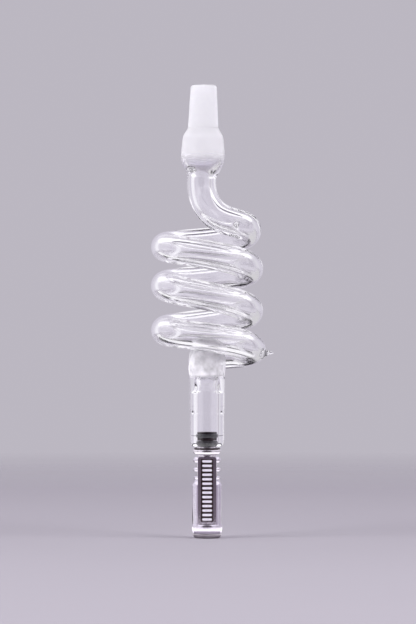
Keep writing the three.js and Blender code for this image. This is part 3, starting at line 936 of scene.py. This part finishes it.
# outlines of the turned cap: foot and shaft, fins, and the full-width spine between the slots
CAP_FOOT = (
    (0, CAP_BASE), (4.62, CAP_BASE), (4.7, 1.85), (4.9, 2.3), (5.03, 2.9), (5.03, 4.3),
    (CAP_R, 4.55), (CAP_R, 17.6), (4.75, 18.1), (4.2, 18.9), (4.05, 19.6),
)
CAP_FINS = (
    (4.4, 20.1), (4.4, 20.45), (SLOT_X, 20.75), (SLOT_X, 22.1), (4.2, 22.25), (4.55, 22.6),
    (4.55, 23.1), (4.2, 23.45), (SLOT_X, 23.6), (SLOT_X, 25.05), (4.25, 25.2), (4.6, 25.7),
    (4.6, 26.3), (4.25, 26.85), (3.9, CAP_TOP), (0, CAP_TOP),
)
CAP_SPINE = (
    (0, CAP_BASE), (4.6, CAP_BASE), (CAP_R, 4.0), (CAP_R, CAP_TOP - 0.4), (4.6, CAP_TOP),
    (0, CAP_TOP),
)


def build_shell():
    """The cap's shell: turned body with fins, bored out, with two flats and their panels."""
    shell = turned("cap_body", rounded(CAP_FOOT + CAP_FINS, CAP_ROUND), sides=144)
    spine = turned("spine", rounded(CAP_SPINE, CAP_ROUND), sides=144)
    combine(spine, "INTERSECT", block("slab", (-SLOT_X, -7, 0), (SLOT_X, 7, ABOVE_CAP)))
    combine(shell, "UNION", spine)
    clip_low, clip_high = CUP_TOP + 0.1, CUP_TOP + 0.5
    clip_groove_r = CAP_BORE_R + 0.22
    bore = turned("bore", [
        (0, 0), (CAP_BORE_R, 0), (CAP_BORE_R, clip_low), (clip_groove_r, clip_low),
        (clip_groove_r, clip_high), (CAP_BORE_R, clip_high), (CAP_BORE_R, CAP_TOP - 0.2),
        (CAP_BORE_R + 0.2, CAP_TOP + 1), (0, CAP_TOP + 1),
    ], sides=128)
    combine(shell, "DIFFERENCE", bore)
    for side in (-1, 1):
        outer, floor = side * BESIDE_CAP, side * (FLAT_Y - PANEL_DEPTH)
        flat_low, flat_high = sorted((side * FLAT_Y, outer))
        panel_low, panel_high = sorted((floor, outer))
        flat = block("flat", (-BESIDE_CAP, flat_low, FLAT_BASE), (BESIDE_CAP, flat_high, ABOVE_CAP))
        panel = block("panel", (-PANEL_HALF, panel_low, PANEL_BASE),
                      (PANEL_HALF, panel_high, PANEL_TOP))
        combine(shell, "DIFFERENCE", flat, panel)
        combine(shell, "UNION", *grip_bars(side))
    paint_panels(shell)
    return smooth(shell, sharp_angle=32)


def grip_bars(side):
    """Plain raised bars across the sunk panel, evenly spaced."""
    pitch = (PANEL_TOP - PANEL_BASE) / BAR_COUNT
    ys = sorted((side * (FLAT_Y - PANEL_DEPTH - 0.05), side * (FLAT_Y - BAR_SINK)))
    bars = []
    for i in range(BAR_COUNT):
        middle = PANEL_BASE + (i + 0.5) * pitch
        reach, half = PANEL_HALF - BAR_INSET, pitch * BAR_SHARE
        steps = 8
        ends = [(reach - half + half * math.cos(a), middle + half * math.sin(a))
                for a in (math.pi * (k / steps - 0.5) for k in range(steps + 1))]
        ends += [(-x, z) for x, z in reversed(ends)]
        count = len(ends)
        verts = [(x, y, z) for y in ys for x, z in ends]
        faces = [tuple(range(count)), tuple(range(count, 2 * count))]
        faces += [(k, (k + 1) % count, count + (k + 1) % count, count + k) for k in range(count)]
        bars.append(make("bar", verts, faces))
    return bars


def paint_panels(shell):
    """The sunk floor of each panel takes the shell's second material, its bars the third."""
    tolerance = 0.005 * MM
    for face in shell.data.polygons:
        face.material_index = 0
        level = abs(face.center.y)
        if abs(face.normal.y) < 0.9 or abs(face.center.x) > PANEL_HALF * MM:
            continue
        if abs(level - (FLAT_Y - PANEL_DEPTH) * MM) < tolerance:
            face.material_index = 1
        elif abs(level - (FLAT_Y - BAR_SINK) * MM) < tolerance:
            face.material_index = 2


def build_plug():
    """The plug that closes the cap's end."""
    outline = [
        (0, 0), (3.3, 0), *arc(3.3, 1.15, 1.15, -85, -60, 4), *arc(3.55, 1.2, 1.2, -55, 0, 8),
        (4.75, 1.4), (4.66, 1.49), (CAP_BORE_R - 0.05, 1.49), (CAP_BORE_R - 0.05, 2.62),
        (CAP_BORE_R - 0.13, 2.7), (0, 2.7),
    ]
    return smooth(turned("cap_plug", outline, sides=144), sharp_angle=30)


def build_cup():
    """The thin inner cup that grips the tip, with a groove for the disc clip."""
    floor = CUP_BASE + CUP_FLOOR
    clip_low, clip_high = box_mm("disc_clip")
    groove_low, groove_high = clip_low.z - 0.05, clip_high.z + 0.05
    outline = [
        (0, CUP_BASE), (CUP_R - 0.3, CUP_BASE), *arc(CUP_R - 0.3, CUP_BASE + 0.3, 0.3, -80, 0, 5),
        (CUP_R, CUP_TOP - 0.05), (CUP_R - 0.05, CUP_TOP), (CUP_BORE_R + 0.05, CUP_TOP),
        (CUP_BORE_R, CUP_TOP - 0.05), (CUP_BORE_R, groove_high), (CUP_BORE_R + 0.12, groove_high),
        (CUP_BORE_R + 0.12, groove_low), (CUP_BORE_R, groove_low), (CUP_BORE_R, floor), (0, floor),
    ]
    return smooth(turned("inner_cup", outline, sides=128), sharp_angle=30)


def build_disc(name, node):
    """A shallow domed click disc."""
    low, high = (corner.z for corner in box_mm(node))
    thick = 0.15
    rise = high - low - thick
    radii = [DISC_R * i / 12 for i in range(13)]
    under = [(r, low + rise * (1 - (r / DISC_R) ** 2)) for r in radii]
    over = [(r, z + thick) for r, z in reversed(under)]
    return smooth(turned(name, rounded(under + over, 0.03), sides=96), sharp_angle=40)


def build_clip(name, node, inner, outer, split_width):
    """A split spring ring with bevelled edges."""
    low, high = (corner.z for corner in box_mm(node))
    bevel = 0.04
    outline = [
        (inner, low + bevel), (inner + bevel, low), (outer - bevel, low), (outer, low + bevel),
        (outer, high - bevel), (outer - bevel, high), (inner + bevel, high), (inner, high - bevel),
    ]
    clip = turned(name, outline, sides=96)
    split = block("split", (0, -split_width / 2, low - 1), (outer + 1, split_width / 2, high + 1))
    combine(clip, "DIFFERENCE", split)
    return smooth(clip, sharp_angle=30)


# ---- studio

FLOOR_HALF = 1.2              # metres, as the fade below is
FLOOR_FADE = (0.35, 0.8)


def build_floor():
    """A pale floor that fades into the backdrop all round."""
    corners = [(x * FLOOR_HALF, y * FLOOR_HALF, 0) for x, y in ((-1, -1), (1, -1), (1, 1), (-1, 1))]
    mesh = bpy.data.meshes.new("floor")
    mesh.from_pydata(corners, [], [(0, 1, 2, 3)])
    floor = bpy.data.objects.new("floor", mesh)
    bpy.context.scene.collection.objects.link(floor)
    m = new_material("pale_floor")
    m.to(m.tones(m.noise(3, 3), (0.42, 0.395, 0.44), (0.43, 0.405, 0.45)), "Base Color")
    socket_values(m.shader, {"Roughness": 1.0, "Specular IOR Level": 0.0})
    away = m.tree.nodes.new("ShaderNodeVectorMath")
    away.operation = "LENGTH"
    m.link(m.place(), away.inputs[0])
    m.to(m.span(away.outputs["Value"], *FLOOR_FADE, 1.0, 0.0), "Alpha")
    floor.data.materials.append(m.material)


# tones of the tent that glass and metal see; SEEN is the one that the camera sees
SEEN = (0.50, 0.475, 0.535)
HORIZON = (0.635, 0.602, 0.695)
SIDES = (0.70, 0.68, 0.745)
LEFT = (0.93, 0.91, 0.98)
STRIP = (0.40, 0.34, 0.43)
UPPER = (1.28, 1.26, 1.33)
OVERHEAD = (0.22, 0.20, 0.25)
DARK = (0.04, 0.03, 0.045)

# where one tone turns into the next: parts of a direction along X or Y, or degrees of rise
LEFT_X = (-0.18, -0.4)
HORIZON_Y = (0.80, 0.93)
UPPER_RISE = (17, 27)
OVERHEAD_RISE = (46, 51)
FRONT_Y = (-0.70, -0.85)
FRONT_RISE = (60, 52)
SIDE_STRIP_Y = (-0.1, 0.14)    # a strip's middle and half width
BACK_STRIP_Y = (0.44, 0.07)
BACK_STRIP_X = (0.3, 0.6)


def build_world():
    """A pale tent: greyer behind the object, brighter left and high up, dim overhead and dark
    where the camera stands, with a grey strip at each side and one behind on the right. The
    camera itself sees one even tone."""
    world = bpy.data.worlds.new("tent")
    bpy.context.scene.world = world
    world.use_nodes = True
    w = Nodes(world.node_tree, "Background")
    direction = w.tree.nodes.new("ShaderNodeTexCoord").outputs["Generated"]
    x, y, z = w.axes(direction)
    rise = w.maths("ARCSINE", z)

    def risen(low, high):
        return w.fade(rise, math.radians(low), math.radians(high))

    sides = w.mix(w.fade(x, *LEFT_X), SIDES, LEFT)
    sides = w.mix(w.strip(y, *SIDE_STRIP_Y), sides, STRIP)
    back_strip = w.maths("MULTIPLY", w.strip(y, *BACK_STRIP_Y), w.fade(x, *BACK_STRIP_X))
    sides = w.mix(back_strip, sides, STRIP)
    colour = w.mix(w.fade(y, *HORIZON_Y), sides, HORIZON)
    colour = w.mix(risen(*UPPER_RISE), colour, UPPER)
    colour = w.mix(risen(*OVERHEAD_RISE), colour, OVERHEAD)
    front = w.maths("MULTIPLY", w.fade(y, *FRONT_Y), risen(*FRONT_RISE))
    colour = w.mix(front, colour, DARK)
    straight = w.tree.nodes.new("ShaderNodeLightPath").outputs["Is Camera Ray"]
    w.to(w.mix(straight, colour, SEEN), "Color")


# radii of the floor cards, in millimetres
CARD_HEIGHT = 0.5
FOOT_R = 8
METAL_DISC_R = 66
GLASS_DISC_R = 92
BACK_CARD_RADII = (106, 215)
FRONT_CARD_R = 300
SIDE_CARD_R = 420
FAR_CARD_R = 1000


def floor_card(name, radii, azimuths, material):
    """A sector of a ring on the floor, azimuths in degrees from +Y towards +X. Only glass and
    metal see it."""
    start, end = azimuths
    steps = 48
    verts = []
    for radius in radii:
        for k in range(steps + 1):
            a = math.radians(start + (end - start) * k / steps)
            verts.append((radius * math.sin(a), radius * math.cos(a), CARD_HEIGHT))
    row = steps + 1
    card = make(name, verts, [(k, k + 1, row + k + 1, row + k) for k in range(steps)])
    card.data.materials.append(material)
    card.visible_camera = card.visible_diffuse = card.visible_shadow = False
    return card


def card_material(name, dark, light, strength):
    """A card that glows by itself, a little uneven."""
    m = new_material(name)
    m.to(m.tones(m.noise(20, 3), dark, light), "Emission Color")
    socket_values(m.shader, {
        "Base Color": (0, 0, 0, 1),
        "Roughness": 1.0,
        "Specular IOR Level": 0.0,
        "Emission Strength": strength,
    })
    return m.material


def build_cards():
    """Reflector cards lying round the object: a bright disc under it, white to the left, black
    behind and grey to the right. In front glass sees a bright card and metal a dark one. A card
    that only one of the two sees is hidden from the other's rays."""
    black = card_material("black_card", (0.95, 0.90, 1.0), (1.0, 0.95, 1.0), 0.015)
    dark = card_material("dark_card", (0.95, 0.78, 0.95), (1.0, 0.84, 1.0), 0.17)
    grey = card_material("grey_card", (0.95, 0.92, 1.0), (1.0, 0.98, 1.0), 0.66)
    white = card_material("white_card", (0.95, 0.93, 1.0), (1.0, 0.99, 1.0), 1.0)
    bright = card_material("bright_card", (0.95, 0.93, 1.0), (1.0, 0.99, 1.0), 1.5)
    glass_disc, metal_disc = (FOOT_R, GLASS_DISC_R), (FOOT_R, METAL_DISC_R)
    sides = (GLASS_DISC_R, SIDE_CARD_R)
    all_round, left, back, right = (0, 360), (-130, -35), (-42, 12), (12, 130)
    front, wide_front = (150, 210), (130, 230)
    floor_card("card_near", glass_disc, all_round, white).visible_glossy = False
    floor_card("card_near_metal", metal_disc, all_round, bright).visible_transmission = False
    floor_card("card_left", sides, left, white)
    floor_card("card_back", BACK_CARD_RADII, back, black)
    floor_card("card_right", sides, right, grey)
    floor_card("card_far_front", (FRONT_CARD_R, FAR_CARD_R), front, dark)
    metal_front = floor_card("card_front", (METAL_DISC_R, FRONT_CARD_R), front, dark)
    metal_front.visible_transmission = False
    glass_front = floor_card("card_low_front", (GLASS_DISC_R, FRONT_CARD_R), wide_front, bright)
    glass_front.visible_glossy = False


SOFT_BOXES = (("soft_box_left", -0.85, 11.5), ("soft_box_right", 0.85, 10.5))    # x (m), power


def build_lights():
    """Two tall soft boxes, left and right in front, that only matt surfaces see."""
    for name, x, power in SOFT_BOXES:
        light = bpy.data.lights.new(name, "AREA")
        light.shape = "RECTANGLE"
        light.size, light.size_y = 0.8, 1.0
        light.energy = power
        box = bpy.data.objects.new(name, light)
        box.location = (x, -0.5, 0.35)
        aim = Vector((0, 0, 0.12)) - box.location
        box.rotation_euler = aim.to_track_quat("-Z", "Y").to_euler()
        box.visible_glossy = box.visible_transmission = False
        bpy.context.scene.collection.objects.link(box)


def build_camera():
    """The photograph's view: level, from the front."""
    data = bpy.data.cameras.new("camera")
    camera = bpy.data.objects.new("camera", data)
    camera.location = (CAMERA_X * MM, -CAMERA_DISTANCE * MM, CAMERA_Z * MM)
    camera.rotation_euler = (math.pi / 2, 0, 0)
    data.sensor_width = SENSOR
    data.lens = SENSOR * CAMERA_DISTANCE / FRAME_HEIGHT
    data.clip_end = 50
    bpy.context.scene.collection.objects.link(camera)
    bpy.context.scene.camera = camera


# ---- assembly

build_camera()

noise.seed_set(NOISE_SEED)

GLASS = clear_glass()
HAZY = hazy_glass("hazy_borosilicate", *BULB_HAZE, clarity=0.5, roughness=0.3, thinnest=0.97)
CLOUDED = hazy_glass("clouded_borosilicate", *DOME_HAZE, clarity=0.15, roughness=0.02,
                     thinnest=0.45)
GROUND = ground_glass()
POLISHED = turned_metal("polished_steel", colour=(0.80, 0.75, 0.84), dark=(0.70, 0.65, 0.74),
                        roughness=0.1, line_depth=0.12)
BRUSHED = turned_metal("brushed_steel", colour=(0.52, 0.49, 0.52), dark=(0.34, 0.31, 0.33),
                       roughness=0.3, line_depth=0.5)
TIP_METAL = heated_metal("tip_metal", low=6.0, high=30.0, roughness=0.2)
CUP_METAL = heated_metal("cup_metal", low=3.0, high=27.0, roughness=0.24)
SPRING = turned_metal("spring_steel", colour=(0.56, 0.54, 0.52), dark=(0.42, 0.40, 0.40),
                      roughness=0.26, line_depth=0.1)
OXIDE_AND_PAINTED_SHADE = dark_oxide_and_painted_shade()
BLASTED = blasted_metal()
RUBBER = rubber()

glass_nodes = ["shoulder_bulb", "neck_tube", "coil_turn_1", "coil_turn_2", "coil_turn_3",
               "return_leg", "seal_off_point", "socket_tube"]
dress(build_glass(), "glass", "clear_glass", glass_nodes, GLASS, HAZY, CLOUDED)
dress(build_joint(), "glass", "ground_glass", ["ground_joint"], GROUND)
dress(build_tip(), "tip", "tip_metal", ["tip_body"], TIP_METAL, OXIDE_AND_PAINTED_SHADE)
for ring_name, ring_groove, ring_node in (
    ("o_ring_upper", UPPER_GROOVE, "upper_o_ring"),
    ("o_ring_lower", LOWER_GROOVE, "lower_o_ring"),
):
    dress(build_ring(ring_name, ring_groove), "seals", "ring_rubber", [ring_node], RUBBER)
dress(build_screen(), "screen", "spring_steel", ["bowl_screen"], SPRING)
dress(build_shell(), "cap", "polished_steel", ["cap_shell"], POLISHED, OXIDE_AND_PAINTED_SHADE, BLASTED)
dress(build_plug(), "cap", "polished_steel", ["end_plug"], BRUSHED)
dress(build_cup(), "cup", "tip_metal", ["heat_cup"], CUP_METAL)
for disc_name, disc_node in (
    ("click_disc_outer", "snap_disc_outer"),
    ("click_disc_inner", "snap_disc_inner"),
):
    dress(build_disc(disc_name, disc_node), "discs", "spring_steel", [disc_node], SPRING)
disc_clip = build_clip("disc_spring_ring", "disc_clip", 2.3, CUP_BORE_R + 0.08, CLIP_SPLIT)
dress(disc_clip, "cup", "spring_steel", ["disc_clip"], SPRING)
cup_clip = build_clip("cup_spring_ring", "cup_clip", 3.05, CAP_BORE_R + 0.17, CLIP_SPLIT)
dress(cup_clip, "cap", "spring_steel", ["cup_clip"], SPRING)

build_floor()
build_cards()
build_world()
build_lights()
scene = bpy.context.scene
scene.view_settings.view_transform = "Standard"
scene.cycles.max_bounces = BOUNCES
scene.cycles.transmission_bounces = BOUNCES
scene.cycles.glossy_bounces = BOUNCES
